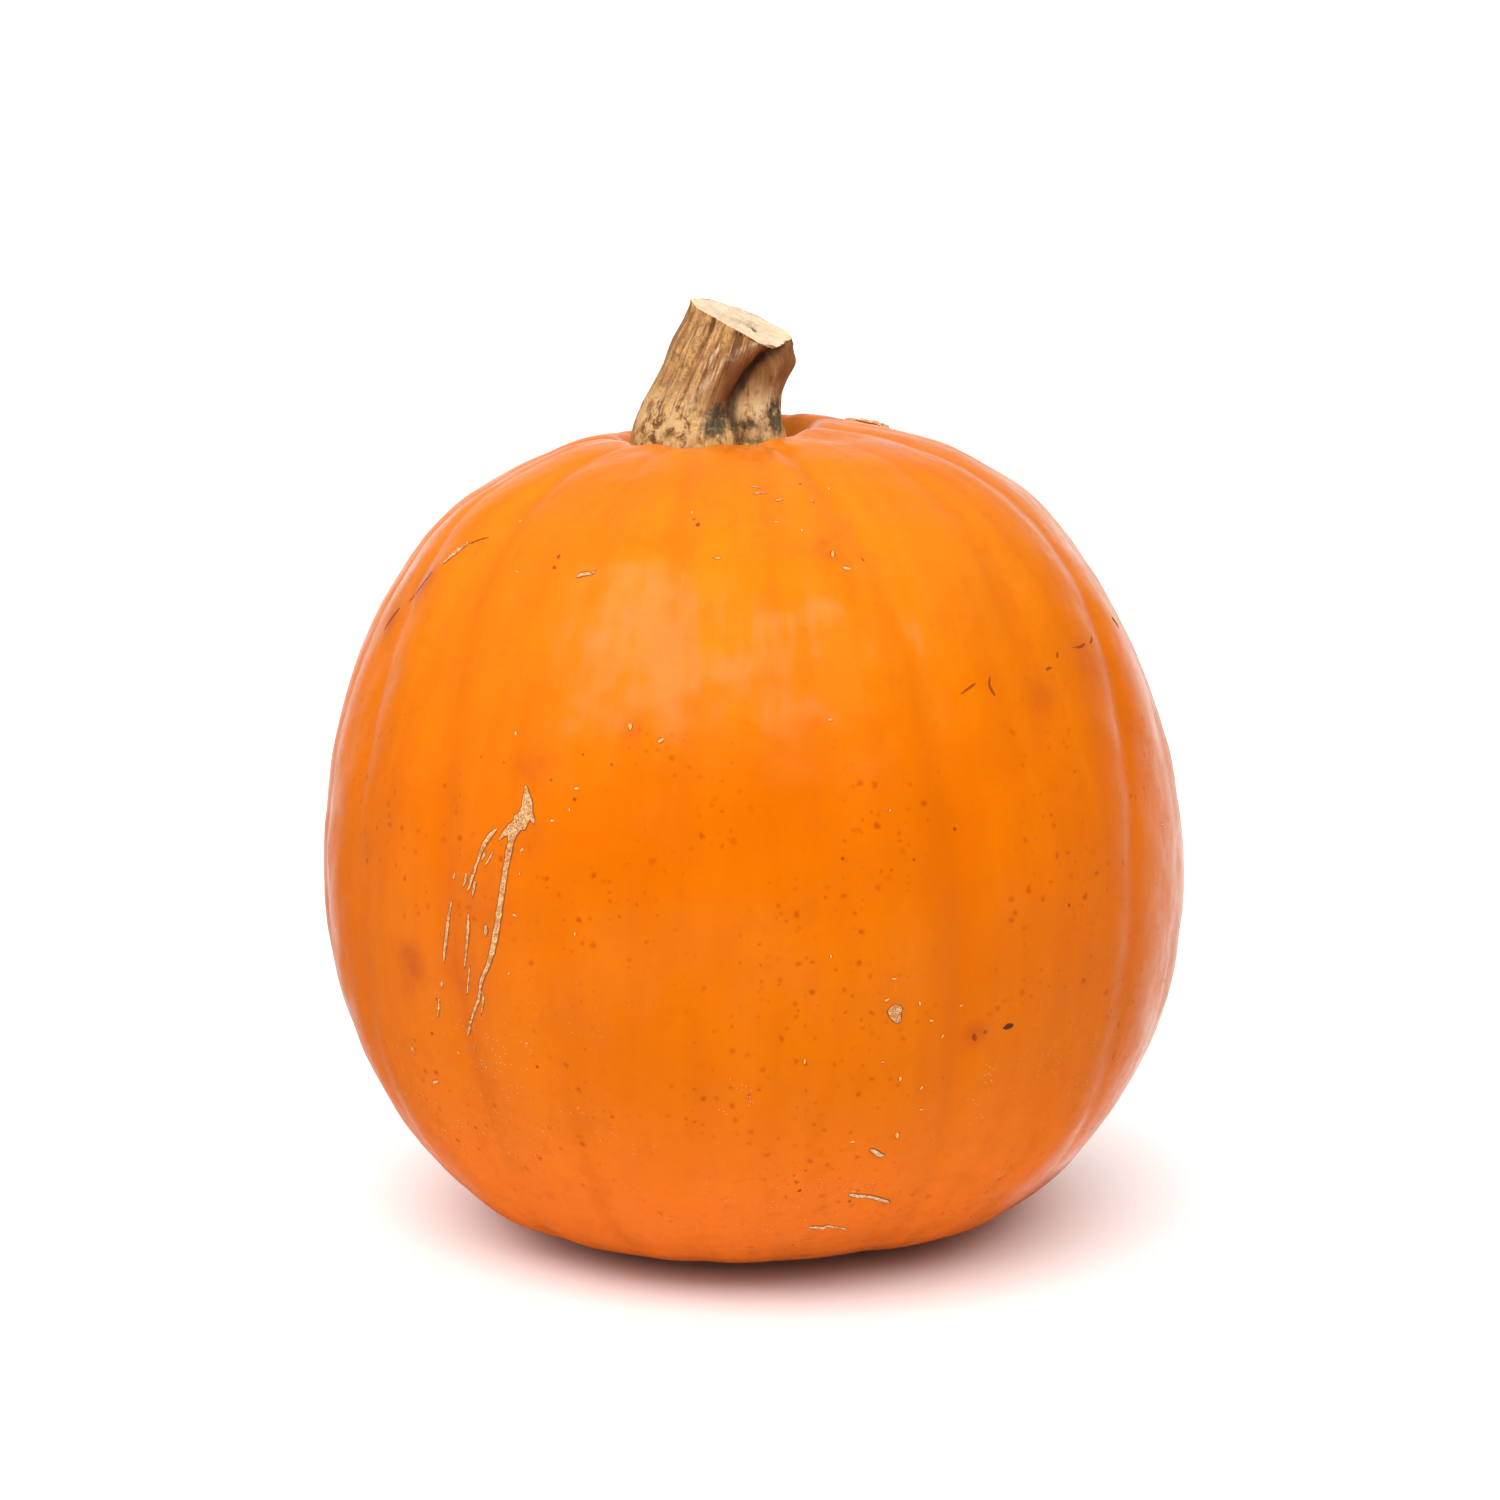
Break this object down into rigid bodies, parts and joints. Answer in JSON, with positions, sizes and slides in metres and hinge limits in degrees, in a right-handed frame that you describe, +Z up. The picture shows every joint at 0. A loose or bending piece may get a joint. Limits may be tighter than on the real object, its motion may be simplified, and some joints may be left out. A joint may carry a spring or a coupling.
{
  "type": "pumpkin",
  "caption": "Whole ripe orange pumpkin, round with shallow ribs and a leaning cut stem, standing on its flat spot.",
  "frame": {"origin": "middle of the whole pumpkin's outline seen from above, at the height of the flat spot that it rests on", "axes": "+Z up from the flat spot to the stem, -Y the side with the pale cork scar on its left, +X the side that the stem leans to"},
  "size_m": [0.2, 0.2, 0.2131],
  "materials": {
    "rind": "satin",
    "stem": "matte"
  },
  "bodies": {
    "root": {"fruit": "rind", "stem": "stem"}
  },
  "joints": []
}
